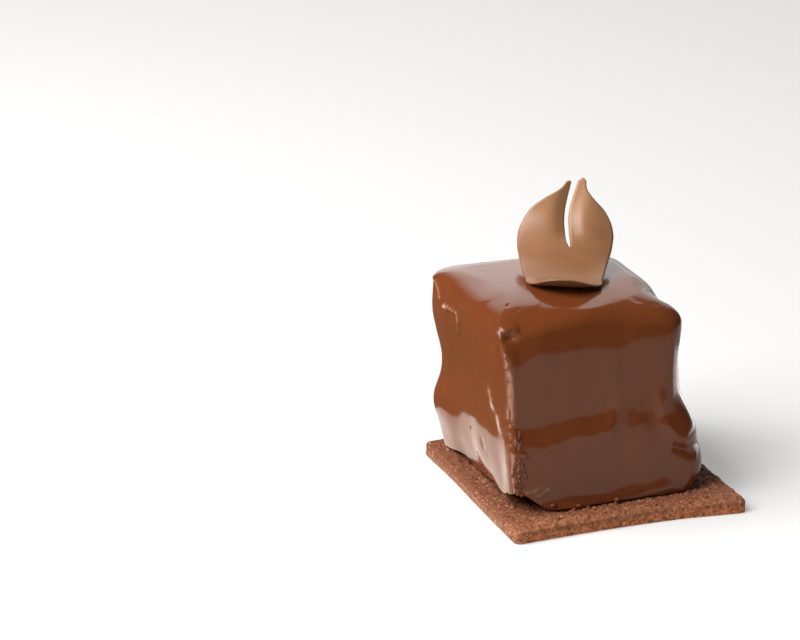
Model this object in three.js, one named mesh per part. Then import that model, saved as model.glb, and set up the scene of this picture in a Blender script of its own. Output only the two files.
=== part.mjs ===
// A single-portion chocolate cake: a sponge block under a poured chocolate glaze, set on a thin
// square of cocoa shortbread, with a slit milk chocolate petal standing on top.
// Millimetres, +Z up. The origin is the middle of the biscuit's underside, and the front is -Y.
import * as THREE from 'three';

// Biscuit
const BISCUIT_SIDE = 65;
const BISCUIT_THICKNESS = 3.7;
const BISCUIT_CORNER = 1.8;
const BISCUIT_EDGE_ROUND = 1.1;
const BISCUIT_FOOT_ROUND = 0.35; // the lower edge lay flat on the tray and stayed crisp
const BISCUIT_FRONT_HOLLOW = 1.1; // how far the middle of the front edge draws in
const BISCUIT_LEFT_SWELL = 0.5; // how far the middle of the left edge swells out
const BISCUIT_CORNER_FLARE = 1.4; // how far the front right corner spreads forward
const BISCUIT_BACK_FLARE = 1.2; // how far the back left corner spreads sideways
const BISCUIT_FLARE_REACH = 14;
const BISCUIT_FACE_INSETS = [8, 18]; // rings across its flat faces, measured in from the edge
const BISCUIT_SHIFT = new THREE.Vector2(0.5, 0.5); // centres the flared outline on the origin

// Cake
const CAKE_HEIGHT = 52.4; // glaze top above the biscuit
const TOP_MIDDLE = new THREE.Vector2(-5.8, 6.6);
const TOP_FALL = 0.028; // the top sinks to the right by this much for each millimetre
const TOP_DOME = 0.5; // the middle of the top stands above its edge
const TOP_DIP = 1.5; // the front edge of the top sinks further
const TOP_REACH = 25; // from the middle of the top to its edge
const GLAZE_THICKNESS = 1.6;
const CONTACT_GAP = 0.3; // between pieces that touch

// Where the four walls stand, measured from the part's middle plane, at heights above the biscuit.
// The lower half of the cake spreads to the right and the front, and the upper half leans left.
const WALL_KEYS = [
  { height: 0, left: 29.6, right: 24.4, front: 23.1, back: 31.0 },
  { height: 3, left: 30.0, right: 26.3, front: 22.7, back: 31.6 },
  { height: 11, left: 30.5, right: 26.8, front: 22.1, back: 32.0 },
  { height: 17, left: 30.4, right: 25.4, front: 21.7, back: 32.0 },
  { height: 22, left: 30.0, right: 23.1, front: 20.9, back: 31.8 },
  { height: 27, left: 30.1, right: 21.2, front: 19.7, back: 31.4 },
  { height: 35, left: 31.4, right: 20.6, front: 19.1, back: 31.6 },
  { height: 43, left: 32.4, right: 21.2, front: 18.7, back: 32.0 },
  { height: 49, left: 32.5, right: 21.6, front: 17.4, back: 32.0 },
];

// Upright corners in order round the cake: their radii on the walls and at the top.
const CORNERS = [
  { name: 'front left', sideX: -1, sideY: -1, start: 180, radius: 2.4, topRadius: 9 },
  { name: 'front right', sideX: 1, sideY: -1, start: 270, radius: 6, topRadius: 8 },
  { name: 'back right', sideX: 1, sideY: 1, start: 0, radius: 6, topRadius: 8 },
  { name: 'back left', sideX: -1, sideY: 1, start: 90, radius: 4.5, topRadius: 6 },
];

// The top edge bends over as a quarter ellipse: how far it reaches in from the wall and how far it
// drops, at each corner and halfway along the wall that follows it.
const TOP_EDGES = [
  { corner: { reach: 11, drop: 5.2 }, wall: { reach: 3.4, drop: 3.2 } },
  { corner: { reach: 8, drop: 4.8 }, wall: { reach: 7, drop: 5 } },
  { corner: { reach: 7, drop: 4.5 }, wall: { reach: 6, drop: 3.8 } },
  { corner: { reach: 7, drop: 3.2 }, wall: { reach: 10, drop: 4.5 } },
];

// Swells and dents of the glazed surface: middle, reach along each axis, height along the normal.
const SWELLS = [
  { name: 'back left belly', at: [-31, 28, 18], reach: [7, 9, 6], height: 1.7 },
  { name: 'front left hollow', at: [-30, -16, 12], reach: [5, 10, 8], height: -1.0 },
  { name: 'left foot tuck', at: [-29, 2, 3], reach: [7, 18, 10], height: -2.6 },
  { name: 'front foot lip', at: [-13, -23, 3], reach: [9, 4, 2.4], height: 1.1 },
  { name: 'left shoulder hang', at: [-31, 22, 44], reach: [5, 9, 6], height: 0.7 },
  { name: 'right top dent', at: [20, -4, 53], reach: [5, 6, 5], height: -1.7 },
  { name: 'right shoulder swell', at: [18, -15, 55], reach: [6, 6, 3], height: 0.2 },
  { name: 'right ledge knob', at: [24, -18, 23], reach: [5, 6, 4], height: 0.4 },
  { name: 'front right groove', at: [24, -20, 16], reach: [6, 5, 2.2], height: -0.7 },
];

// Draws of the glazed surface to the right: middle, reach along each axis, distance.
const DRAWS = [
  { name: 'front left shoulder', at: [-32, -19, 45], reach: [9, 9, 13], height: 2.3 },
];

// Lifts of the glaze's lower rim off the biscuit: middle in plan, reach and height.
const RIM_CLEARANCE = 0.4;
const RIM_LIFTS = [
  { name: 'front left corner', at: [-27, -21.8], reach: 5, height: 5.6 },
  { name: 'left edge front', at: [-28, -9], reach: 9, height: 2.5 },
  { name: 'left edge back', at: [-29, 15], reach: 8, height: 2.0 },
];

// The sponge is broken away behind the lifted rim: middle, reach along each axis, and how far the
// broken face lies to the right and to the back of the whole one.
const SPONGE_BREAKS = [
  { name: 'front left foot', at: [-26, -20, 5], reach: [8, 8, 6], height: 4.5 },
];

// Petal
const PETAL_THICKNESS = 1.2;
const PETAL_CONTACT = new THREE.Vector2(-5.2, 1.9);
const PETAL_TURN = THREE.MathUtils.degToRad(-22); // its back points away to the right
const PETAL_ROLL = Math.atan(TOP_FALL); // it leans with the top
const PETAL_LIP = -9; // the front end, measured along the petal from where it rests
const PETAL_ARCH = 0.01; // drop to the sides, per square millimetre of offset
const PETAL_ARCH_SPAN = [4, 18]; // lengths along the petal where the arch begins and is whole
const PETAL_TIPS = { left: 37.6, right: 38.5 };
const TIP_ROUNDS = { left: 0.4, right: 1.0 }; // how far the sides of each tip fall back
const SLIT_END = 17.4;
const SLIT_HALF_WIDTH = 0.4;
const SLIT_SPREAD = 0.45; // extra half width at the tips

// The lip is round: from its middle to its corners it falls back by a depth times a power of the way.
const LIP_ROUNDS = {
  left: { depth: 8, power: 3 },
  right: { depth: 8, power: 1.6 },
};

// Folds beside the slit: the left half curls back towards it, and the right half swells to a ridge
// that falls quickly to the slit and slowly to its outer edge.
const LOBE_FOLDS = {
  left: { height: -1.6, offset: 0, inner: 2.8, outer: 2.8 },
  right: { height: 1.3, offset: 5.4, inner: 3.4, outer: 6 },
};
const FOLD_FULL = 24; // length along the petal where the folds are whole

// The petal along its length: its slope in degrees, its outer edges and the line of the slit. It is
// bent like a scoop, with the lip and the tips up and its belly on the glaze.
const PETAL_KEYS = [
  { along: -9.4, slope: -37, left: -9.6, slit: 0.2, right: 9.2 },
  { along: -5, slope: -30, left: -9.8, slit: 0.4, right: 9.4 },
  { along: 0, slope: 0, left: -10.3, slit: 0.7, right: 9.6 },
  { along: 5, slope: 9, left: -11.2, slit: 1.0, right: 10.3 },
  { along: 10, slope: 15.5, left: -11.8, slit: 1.3, right: 11.0 },
  { along: 15, slope: 22, left: -12.4, slit: 1.5, right: 11.9 },
  { along: 20, slope: 30, left: -12.9, slit: 0.8, right: 12.8 },
  { along: 24, slope: 40, left: -12.6, slit: 0.4, right: 13.0 },
  { along: 27, slope: 50, left: -11.4, slit: 0.2, right: 12.2 },
  { along: 30, slope: 60, left: -9.4, slit: 0.4, right: 10.3 },
  { along: 32.5, slope: 66, left: -6.2, slit: 0.9, right: 7.7 },
  { along: 35, slope: 70, left: -2.2, slit: 1.5, right: 5.7 },
  { along: 39, slope: 75, left: 0.8, slit: 2.5, right: 5.2 },
];

// Facet counts
const ARC_STEPS = 5;
const SIDE_STEPS = 11;
const WALL_ROWS = 20;
const ROUND_ROWS = 7;
const TOP_ROWS = 5;
const INNER_WALL_ROWS = 9;
const INNER_ROUND_ROWS = 3;
const INNER_TOP_ROWS = 2;
const PETAL_ROWS = 26;
const PETAL_COLUMNS = 9;
const SPINE_STEPS = 60;
const LEAST_RADIUS = 0.5; // keeps the points of a corner apart

// A smooth curve through a table of keys; returns a function from the key's position to its values.
function curveThrough(keys, position, names) {
  const positions = keys.map((key) => key[position]);
  const values = keys.flatMap((key) => names.map((name) => key[name]));
  const interpolant = new THREE.CubicInterpolant(positions, values, names.length);
  const last = positions[positions.length - 1];
  return (at) => {
    const result = interpolant.evaluate(THREE.MathUtils.clamp(at, positions[0], last));
    return Object.fromEntries(names.map((name, i) => [name, result[i]]));
  };
}

// A closed skin over rings of points, each as long as the next; the two end rings are single points.
function skinOverRings(rings) {
  const positions = [];
  const firstOf = [];
  for (const ring of rings) {
    firstOf.push(positions.length / 3);
    for (const point of ring) positions.push(point.x, point.y, point.z);
  }
  const index = [];
  for (let r = 0; r + 1 < rings.length; r += 1) {
    const lower = rings[r].length;
    const upper = rings[r + 1].length;
    const count = Math.max(lower, upper);
    for (let i = 0; i < count; i += 1) {
      const next = (i + 1) % count;
      const a = firstOf[r] + (lower > 1 ? i : 0);
      const b = firstOf[r] + (lower > 1 ? next : 0);
      const c = firstOf[r + 1] + (upper > 1 ? next : 0);
      const d = firstOf[r + 1] + (upper > 1 ? i : 0);
      if (a !== b) index.push(a, b, c);
      if (c !== d) index.push(a, c, d);
    }
  }
  return geometryFrom(positions, index);
}

function geometryFrom(positions, index) {
  const geometry = new THREE.BufferGeometry();
  geometry.setAttribute('position', new THREE.Float32BufferAttribute(positions, 3));
  geometry.setIndex(index);
  geometry.computeVertexNormals();
  return geometry;
}

// Stations round a square with rounded corners: on a corner's arc, or part of the way along a wall.
function stationsRound() {
  const stations = [];
  CORNERS.forEach((corner, c) => {
    for (let i = 0; i <= ARC_STEPS; i += 1) {
      const degrees = corner.start + (90 * i) / ARC_STEPS;
      stations.push({ corner: c, degrees, along: 0 });
    }
    for (let i = 1; i < SIDE_STEPS; i += 1) {
      stations.push({ corner: c, degrees: corner.start + 90, along: i / SIDE_STEPS });
    }
  });
  return stations;
}

const STATIONS = stationsRound();

// The point of a rounded rectangle at a station. Its walls and corner radii come from the caller.
function outlinePoint(station, walls, radiusOf) {
  const onArc = (corner, degrees) => {
    const radius = radiusOf(corner);
    const wallX = corner.sideX > 0 ? walls.right : -walls.left;
    const wallY = corner.sideY > 0 ? walls.back : -walls.front;
    const turn = THREE.MathUtils.degToRad(degrees);
    return new THREE.Vector2(
      wallX + radius * (Math.cos(turn) - corner.sideX),
      wallY + radius * (Math.sin(turn) - corner.sideY),
    );
  };
  const corner = CORNERS[station.corner];
  const point = onArc(corner, station.degrees);
  if (station.along > 0) {
    const next = CORNERS[(station.corner + 1) % CORNERS.length];
    point.lerp(onArc(next, next.start), station.along);
  }
  return point;
}

function gauss(distance) {
  return Math.exp(-distance * distance);
}

// Biscuit: a flat-bottomed slab with rounded edges whose outline wanders like cut and baked dough.
function biscuitPoint(station, inset, height) {
  const half = BISCUIT_SIDE / 2 - inset;
  const walls = { left: half, right: half, front: half, back: half };
  const radius = Math.max(BISCUIT_CORNER - inset, LEAST_RADIUS);
  const point = outlinePoint(station, walls, () => radius);
  const acrossX = point.x / half;
  const acrossY = point.y / half;
  const hollow = BISCUIT_FRONT_HOLLOW * (1 - acrossX * acrossX);
  const flare = BISCUIT_CORNER_FLARE * gauss((half - point.x) / BISCUIT_FLARE_REACH);
  const swell = BISCUIT_LEFT_SWELL * (1 - acrossY * acrossY);
  const spread = BISCUIT_BACK_FLARE * gauss((half - point.y) / BISCUIT_FLARE_REACH);
  point.y += Math.max(-acrossY, 0) * (hollow - flare);
  point.x -= Math.max(-acrossX, 0) * (swell + spread);
  point.add(BISCUIT_SHIFT);
  return new THREE.Vector3(point.x, point.y, height);
}

function biscuit() {
  const edge = BISCUIT_EDGE_ROUND;
  const foot = BISCUIT_FOOT_ROUND;
  const top = BISCUIT_THICKNESS;
  const halfway = edge * (1 - Math.SQRT1_2); // the middle of the upper edge's round
  const [outer, inner] = BISCUIT_FACE_INSETS;
  const levels = [
    [inner, 0], [foot, 0], [0, foot], [0, top - edge],
    [halfway, top - halfway], [edge, top], [outer, top], [inner, top],
  ];
  const rings = levels.map(([inset, height]) => STATIONS.map((s) => biscuitPoint(s, inset, height)));
  rings.unshift([new THREE.Vector3(0, 0, 0)]);
  rings.push([new THREE.Vector3(0, 0, top)]);
  return skinOverRings(rings);
}

const wallsAt = curveThrough(WALL_KEYS, 'height', ['left', 'right', 'front', 'back']);

// Reach or drop of the top edge at a station, passing smoothly from corner to mid wall to corner.
function topEdgeAt(station, size) {
  const { corner, wall } = TOP_EDGES[station.corner];
  const next = TOP_EDGES[(station.corner + 1) % TOP_EDGES.length].corner;
  const toMiddle = 1 - Math.abs(2 * station.along - 1);
  const ends = THREE.MathUtils.lerp(corner[size], next[size], station.along);
  return THREE.MathUtils.lerp(ends, wall[size], THREE.MathUtils.smoothstep(toMiddle, 0, 1));
}

function topHeight(x, y) {
  const fromMiddle = Math.hypot(x - TOP_MIDDLE.x, y - TOP_MIDDLE.y) / TOP_REACH;
  const forward = Math.max(TOP_MIDDLE.y - y, 0) / TOP_REACH;
  const sunk = TOP_DOME * fromMiddle * fromMiddle + TOP_DIP * forward * forward;
  return CAKE_HEIGHT - TOP_FALL * (x - TOP_MIDDLE.x) - sunk;
}

function rimLift(x, y) {
  return RIM_LIFTS.reduce((sum, lift) => {
    const distance = Math.hypot(x - lift.at[0], y - lift.at[1]) / lift.reach;
    return sum + lift.height * gauss(distance);
  }, RIM_CLEARANCE);
}

function swellAt(point, swells) {
  return swells.reduce((sum, swell) => {
    const dx = (point.x - swell.at[0]) / swell.reach[0];
    const dy = (point.y - swell.at[1]) / swell.reach[1];
    const dz = (point.z - swell.at[2]) / swell.reach[2];
    return sum + swell.height * Math.exp(-dx * dx - dy * dy - dz * dz);
  }, 0);
}

// The glazed surface. Level 0 to 1 climbs the wall from the rim, 1 to 2 goes round the top edge, and
// 2 to 3 crosses the top to its middle. Depth is how far below the outer surface the point lies.
function cakePoint(station, level, depth, footOf) {
  const reach = topEdgeAt(station, 'reach');
  const drop = topEdgeAt(station, 'drop');
  const climb = THREE.MathUtils.clamp(level, 0, 1);
  const tilt = THREE.MathUtils.clamp(level - 1, 0, 1) * (Math.PI / 2);
  const inward = THREE.MathUtils.clamp(level - 2, 0, 1);
  const eave = CAKE_HEIGHT - drop;
  const foot = footOf(station);
  const height = foot + (eave - foot) * climb;
  const walls = wallsAt(height);
  const bent = 1 - Math.cos(tilt);
  const inset = depth * Math.cos(tilt) + reach * bent;
  Object.keys(walls).forEach((name) => { walls[name] -= inset; });
  const plan = outlinePoint(station, walls, (corner) => Math.max(
    THREE.MathUtils.lerp(corner.radius - depth, corner.topRadius, bent), LEAST_RADIUS,
  ));
  plan.lerp(TOP_MIDDLE, inward);
  const fall = topHeight(plan.x, plan.y) - CAKE_HEIGHT;
  const rise = height + (drop - depth) * Math.sin(tilt) + fall * climb;
  const point = new THREE.Vector3(plan.x, plan.y, BISCUIT_THICKNESS + rise);

  const corner = CORNERS[station.corner];
  const turn = THREE.MathUtils.degToRad(station.along > 0 ? corner.start + 90 : station.degrees);
  const normal = new THREE.Vector3(
    Math.cos(turn) * Math.cos(tilt), Math.sin(turn) * Math.cos(tilt), Math.sin(tilt),
  );
  const draw = swellAt(point, DRAWS);
  point.addScaledVector(normal, swellAt(point, SWELLS));
  point.x += draw;
  return point;
}

// Levels of the rings from the rim up to, but not including, the middle of the top.
function ringLevels(wallRows, roundRows, topRows) {
  const levels = [];
  for (let i = 0; i <= wallRows; i += 1) levels.push(i / wallRows);
  for (let i = 1; i <= roundRows; i += 1) levels.push(1 + i / roundRows);
  for (let i = 1; i < topRows; i += 1) levels.push(2 + i / topRows);
  return levels;
}

function glazeFoot(station) {
  const walls = wallsAt(0);
  const plan = outlinePoint(station, walls, (corner) => corner.radius);
  return rimLift(plan.x, plan.y);
}

function spongeFoot() {
  return CONTACT_GAP;
}

// Glaze: an upturned cup. The rings run down the inside from the middle of its ceiling, turn round
// the rim and climb the outside to the middle of the top.
function glaze() {
  const inside = ringLevels(INNER_WALL_ROWS, INNER_ROUND_ROWS, INNER_TOP_ROWS).reverse();
  const outside = ringLevels(WALL_ROWS, ROUND_ROWS, TOP_ROWS);
  const rings = [
    [cakePoint(STATIONS[0], 3, GLAZE_THICKNESS, glazeFoot)],
    ...inside.map((level) => STATIONS.map((s) => cakePoint(s, level, GLAZE_THICKNESS, glazeFoot))),
    ...outside.map((level) => STATIONS.map((s) => cakePoint(s, level, 0, glazeFoot))),
    [cakePoint(STATIONS[0], 3, 0, glazeFoot)],
  ];
  return skinOverRings(rings);
}

function brokenAway(point) {
  const back = swellAt(point, SPONGE_BREAKS);
  return point.add(new THREE.Vector3(back, back, 0));
}

// Sponge: the solid block that fills the glaze and sits on the biscuit.
function sponge() {
  const depth = GLAZE_THICKNESS + CONTACT_GAP;
  const levels = ringLevels(INNER_WALL_ROWS, INNER_ROUND_ROWS, INNER_TOP_ROWS);
  const bottom = new THREE.Vector3(TOP_MIDDLE.x, TOP_MIDDLE.y, BISCUIT_THICKNESS + CONTACT_GAP);
  const rings = [
    [bottom],
    ...levels.map((level) => STATIONS.map((s) => brokenAway(cakePoint(s, level, depth, spongeFoot)))),
    [cakePoint(STATIONS[0], 3, depth, spongeFoot)],
  ];
  return skinOverRings(rings);
}

const petalShape = curveThrough(PETAL_KEYS, 'along', ['slope', 'left', 'slit', 'right']);

// Middle line of the petal in its own upright plane, followed by its slope from where it rests.
function petalSpine(along) {
  const slopeAt = (at) => THREE.MathUtils.degToRad(petalShape(at).slope);
  const step = along / SPINE_STEPS;
  const spine = { y: 0, z: 0, slope: slopeAt(along) };
  for (let i = 0; i < SPINE_STEPS; i += 1) {
    const slope = slopeAt((i + 0.5) * step);
    spine.y += step * Math.cos(slope);
    spine.z += step * Math.sin(slope);
  }
  return spine;
}

function slitHalfWidth(along) {
  const past = Math.max(along - SLIT_END, 0);
  const upper = past / (PETAL_TIPS.right - SLIT_END);
  return SLIT_HALF_WIDTH * (1 - Math.exp(-past)) + SLIT_SPREAD * upper * upper;
}

// A point of the petal. Side is 'left' or 'right' of the slit, across runs from the slit to the outer
// edge, and face is +1 for the upper face and -1 for the lower one.
function petalPoint(side, along, across, face) {
  const outline = petalShape(along);
  const inner = outline.slit + (side === 'left' ? -1 : 1) * slitHalfWidth(along);
  const offset = THREE.MathUtils.lerp(inner, outline[side], across);
  const spine = petalSpine(along);
  const fromSlit = Math.abs(offset - outline.slit);
  const { height, offset: foldOffset, inner: innerReach, outer: outerReach } = LOBE_FOLDS[side];
  const fromFold = fromSlit - foldOffset;
  const folded = THREE.MathUtils.smoothstep(along, SLIT_END, FOLD_FULL);
  const fold = height * folded * gauss(fromFold / (fromFold < 0 ? innerReach : outerReach));
  const arch = PETAL_ARCH * THREE.MathUtils.smoothstep(along, ...PETAL_ARCH_SPAN);
  const lift = fold - arch * offset * offset + (face * PETAL_THICKNESS) / 2;
  return new THREE.Vector3(
    offset, spine.y - lift * Math.sin(spine.slope), spine.z + lift * Math.cos(spine.slope),
  );
}

// Petal: two halves of a sheet, one on each side of the slit, that share their middle column below
// the slit's end. Walls close the outer edges, the lip, the tips and both sides of the slit.
function petal() {
  const slitRow = Math.round((PETAL_ROWS * (SLIT_END - PETAL_LIP)) / (PETAL_TIPS.left - PETAL_LIP));
  const positions = [];
  const index = [];
  const known = new Map();
  const alongAt = (side, row, across) => {
    if (row <= slitRow) {
      const { depth, power } = LIP_ROUNDS[side];
      const lip = PETAL_LIP + depth * across ** power;
      return THREE.MathUtils.mapLinear(row, 0, slitRow, lip, SLIT_END);
    }
    const tip = PETAL_TIPS[side] - TIP_ROUNDS[side] * (2 * across - 1) ** 2;
    return THREE.MathUtils.mapLinear(row, slitRow, PETAL_ROWS, SLIT_END, tip);
  };
  const vertex = (side, row, column, face) => {
    const shared = column === 0 && row <= slitRow;
    const key = `${shared ? 'both' : side} ${row} ${column} ${face}`;
    if (!known.has(key)) {
      known.set(key, positions.length / 3);
      const across = column / PETAL_COLUMNS;
      const point = petalPoint(side, alongAt(side, row, across), across, face);
      positions.push(point.x, point.y, point.z);
    }
    return known.get(key);
  };
  for (const side of ['left', 'right']) {
    const quad = (a, b, c, d) => {
      if (side === 'right') index.push(a, b, c, a, c, d);
      else index.push(a, c, b, a, d, c);
    };
    for (let row = 0; row < PETAL_ROWS; row += 1) {
      const at = (up, column, face) => vertex(side, row + up, column, face);
      for (let column = 0; column < PETAL_COLUMNS; column += 1) {
        const next = column + 1;
        quad(at(0, column, 1), at(0, next, 1), at(1, next, 1), at(1, column, 1));
        quad(at(0, column, -1), at(1, column, -1), at(1, next, -1), at(0, next, -1));
      }
      const edge = PETAL_COLUMNS;
      quad(at(0, edge, -1), at(1, edge, -1), at(1, edge, 1), at(0, edge, 1));
      if (row >= slitRow) quad(at(0, 0, 1), at(1, 0, 1), at(1, 0, -1), at(0, 0, -1));
    }
    for (let column = 0; column < PETAL_COLUMNS; column += 1) {
      const next = column + 1;
      const lip = (c, face) => vertex(side, 0, c, face);
      const tip = (c, face) => vertex(side, PETAL_ROWS, c, face);
      quad(lip(column, -1), lip(next, -1), lip(next, 1), lip(column, 1));
      quad(tip(column, 1), tip(next, 1), tip(next, -1), tip(column, -1));
    }
  }
  return geometryFrom(positions, index);
}

// The petal rests along a line across its belly.
function petalRestHeight() {
  const top = BISCUIT_THICKNESS + topHeight(PETAL_CONTACT.x, PETAL_CONTACT.y);
  return top + CONTACT_GAP + PETAL_THICKNESS / 2;
}

function piece(name, geometry, color, roughness) {
  const mesh = new THREE.Mesh(geometry, new THREE.MeshStandardMaterial({ color, roughness, metalness: 0 }));
  mesh.name = name;
  return mesh;
}

const cake = new THREE.Group();
cake.add(piece('biscuit_base', biscuit(), 0x8a5a40, 0.9));
cake.add(piece('sponge_cake', sponge(), 0x3a2016, 0.95));
cake.add(piece('chocolate_glaze', glaze(), 0x6a3a22, 0.2));
const petalMesh = piece('chocolate_petal', petal(), 0xa5764f, 0.4);
petalMesh.position.set(PETAL_CONTACT.x, PETAL_CONTACT.y, petalRestHeight());
petalMesh.rotation.set(0, PETAL_ROLL, PETAL_TURN, 'ZYX');
cake.add(petalMesh);

export default cake;
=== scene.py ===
"""A single-portion sachertorte: sponge under poured chocolate glaze, on cocoa shortbread, with a petal."""

import bmesh
import bpy
import numpy as np
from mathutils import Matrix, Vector


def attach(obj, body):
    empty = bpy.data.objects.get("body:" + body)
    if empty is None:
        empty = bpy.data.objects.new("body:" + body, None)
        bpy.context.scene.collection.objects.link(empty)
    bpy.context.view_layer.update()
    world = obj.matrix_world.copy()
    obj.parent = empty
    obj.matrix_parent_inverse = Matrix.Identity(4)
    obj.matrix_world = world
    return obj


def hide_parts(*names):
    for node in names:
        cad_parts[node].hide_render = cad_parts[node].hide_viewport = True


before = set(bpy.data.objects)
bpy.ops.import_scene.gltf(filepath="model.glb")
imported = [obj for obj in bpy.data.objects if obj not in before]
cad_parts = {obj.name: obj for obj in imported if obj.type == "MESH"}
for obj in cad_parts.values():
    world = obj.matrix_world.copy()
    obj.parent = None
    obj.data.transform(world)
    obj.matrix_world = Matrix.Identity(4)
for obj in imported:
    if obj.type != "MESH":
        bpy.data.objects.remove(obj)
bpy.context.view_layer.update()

# Biscuit base: a square of cocoa shortbread, cut from rolled dough and baked. Its outline wanders, its
# edges are soft, and its faces are sandy with sugar grains and small pits. The cake stands on it.
MM = 0.001
biscuit_side = 65.0
biscuit_thickness = 3.7
biscuit_corner = 1.8
biscuit_edge_round = 1.1
biscuit_foot_round = 0.35
biscuit_front_hollow = 1.1
biscuit_left_swell = 0.5
biscuit_corner_flare = 1.4
biscuit_back_flare = 1.2
biscuit_flare_reach = 14.0
biscuit_shift = np.array([0.5, 0.5])
biscuit_arc_steps = (8, 8, 8, 8)
biscuit_side_steps = (160, 160, 160, 160)

corner_signs = np.array([[-1, -1], [1, -1], [1, 1], [-1, 1]])
corner_starts = np.array([180.0, 270.0, 0.0, 90.0])
least_radius = 0.5


def stations_round(arc_steps, side_steps):
    """Stations round a square with rounded corners, from the front left one: the number of the corner, the
    direction on its arc in degrees, and the share of the way along the wall that follows it."""
    corner, degrees, along = [], [], []
    for number, (arc_count, side_count) in enumerate(zip(arc_steps, side_steps)):
        arc = np.linspace(0, 90, arc_count + 1)
        side = np.arange(1, side_count) / side_count
        corner.append(np.full(arc.size + side.size, number))
        degrees.append(corner_starts[number] + np.concatenate([arc, np.full(side.size, 90.0)]))
        along.append(np.concatenate([np.zeros(arc.size), side]))
    return np.concatenate(corner), np.concatenate(degrees), np.concatenate(along)


def outline(stations, walls, radius_at):
    """Plan points of a rounded rectangle: on a corner's arc the wall's corner plus the radius in the
    station's direction, and on a wall the straight line from that arc's end to the next corner's arc."""
    corner, degrees, along = stations
    following = (corner + 1) % 4

    def on_arc(number, turn):
        radius = np.maximum(radius_at(number), least_radius)
        sign_x, sign_y = corner_signs[number].T
        wall_x = np.where(sign_x > 0, walls["right"], -walls["left"])
        wall_y = np.where(sign_y > 0, walls["back"], -walls["front"])
        return wall_x + radius * (np.cos(turn) - sign_x), wall_y + radius * (np.sin(turn) - sign_y)

    x0, y0 = on_arc(corner, np.radians(degrees))
    x1, y1 = on_arc(following, np.radians(corner_starts[following]))
    return x0 + along * (x1 - x0), y0 + along * (y1 - y0)


def lumps(points, size, seed):
    """Smooth random field from -1 to 1 with lumps of the given size: a random value at each corner of a cubic
    lattice, blended along the three axes with a smoothstep."""
    cell = points / size
    low = np.floor(cell).astype(np.int64)
    share = cell - low
    share = share * share * (3 - 2 * share)
    total = np.zeros(points.shape[:-1])
    for corner in np.ndindex(2, 2, 2):
        mixed = (low + np.array(corner)) @ np.array([73856093, 19349663, 83492791]) + seed * 26544357
        mixed = (mixed ^ (mixed >> 13)) * 1274126177
        value = ((mixed ^ (mixed >> 16)) & 0xFFFF) / 32767.5 - 1
        total += value * np.prod(np.where(corner, share, 1 - share), axis=-1)
    return total


def biscuit_surface(inset, height, stations):
    """Rounded square, drawn in along the middle of its front, swollen at the left and flared at two corners,
    ring by ring from the middle of the underside to the middle of the top."""
    half = biscuit_side / 2 - inset[:, None]
    walls = {"left": half, "right": half, "front": half, "back": half}
    x, y = outline(stations, walls, lambda number: biscuit_corner - inset[:, None])
    across_x = x / half
    across_y = y / half
    hollow = biscuit_front_hollow * (1 - across_x**2)
    flare = biscuit_corner_flare * np.exp(-(((half - x) / biscuit_flare_reach) ** 2))
    swell = biscuit_left_swell * (1 - across_y**2)
    spread = biscuit_back_flare * np.exp(-(((half - y) / biscuit_flare_reach) ** 2))
    y = y + np.maximum(-across_y, 0) * (hollow - flare) + biscuit_shift[1]
    x = x - np.maximum(-across_x, 0) * (swell + spread) + biscuit_shift[0]
    return np.stack([x, y, np.broadcast_to(height[:, None], x.shape)], axis=-1)


# Relief of the crust: height and size of its waves, crumbs and grit by seed, and depth, size and seed of the
# pits, which sink where their lumps pass a limit. The sides have less of it, and the lowest rim has none.
crust_lumps = {1: (0.16, 7.0), 2: (0.26, 1.6), 3: (0.26, 0.85)}
crust_pits = (0.60, 1.2, 4)
pit_limit = 0.45
side_share = 0.55
crust_sink = 0.1
flat_rim = 0.3


def baked_relief(points, up):
    """Sandy relief of the baked crust: the sum of its waves, crumbs and grit, less the pits. It moves the top
    down or up and the sides in or out, and leaves the underside flat."""
    depth, size, seed = crust_pits
    relief = -depth * np.clip(lumps(points, size, seed) - pit_limit, 0, None)
    for seed, (height, size) in crust_lumps.items():
        relief += height * lumps(points, size, seed)
    relief = relief * np.where(up > 0.5, 1.0, side_share) - crust_sink
    outward = points[..., :2] - points[..., :2].mean(axis=(0, 1))
    outward = outward / np.maximum(np.linalg.norm(outward, axis=-1, keepdims=True), 1e-6)
    moved = points.copy()
    moved[..., :2] += outward * (relief * np.clip(1 - up, 0, 1) * (points[..., 2] > flat_rim))[..., None]
    moved[..., 2] += relief * np.clip(up, 0, 1)
    return moved


def ring_faces(rings, count):
    """Quads between neighbouring rings of the same number of points, closed round each ring."""
    ring = np.arange(rings - 1)[:, None] * count
    here = np.arange(count)[None, :]
    after = (here + 1) % count
    quads = np.stack([ring + here, ring + after, ring + count + after, ring + count + here], axis=-1)
    return quads.reshape(-1, 4)


def mesh_piece(name, points, faces, material):
    """A mesh object with smooth faces, its points given in millimetres and its place kept in its mesh. Points
    that fall together are merged, which closes poles and seams, and the faces are turned outwards."""
    mesh = bpy.data.meshes.new(name)
    mesh.from_pydata((points.reshape(-1, 3) * MM).tolist(), [], faces.tolist())
    shell = bmesh.new()
    shell.from_mesh(mesh)
    bmesh.ops.remove_doubles(shell, verts=shell.verts, dist=1e-3 * MM)
    bmesh.ops.recalc_face_normals(shell, faces=shell.faces)
    shell.to_mesh(mesh)
    shell.free()
    mesh.polygons.foreach_set("use_smooth", np.ones(len(mesh.polygons), dtype=bool))
    mesh.materials.append(material)
    piece = bpy.data.objects.new(name, mesh)
    bpy.context.scene.collection.objects.link(piece)
    return piece


def linear(colour):
    """Linear red, green, blue and alpha of an sRGB hex colour."""
    channels = np.array([int(colour[i:i + 2], 16) for i in (1, 3, 5)]) / 255
    bright = ((channels + 0.055) / 1.055) ** 2.4
    return (*np.where(channels <= 0.04045, channels / 12.92, bright), 1.0)


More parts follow.
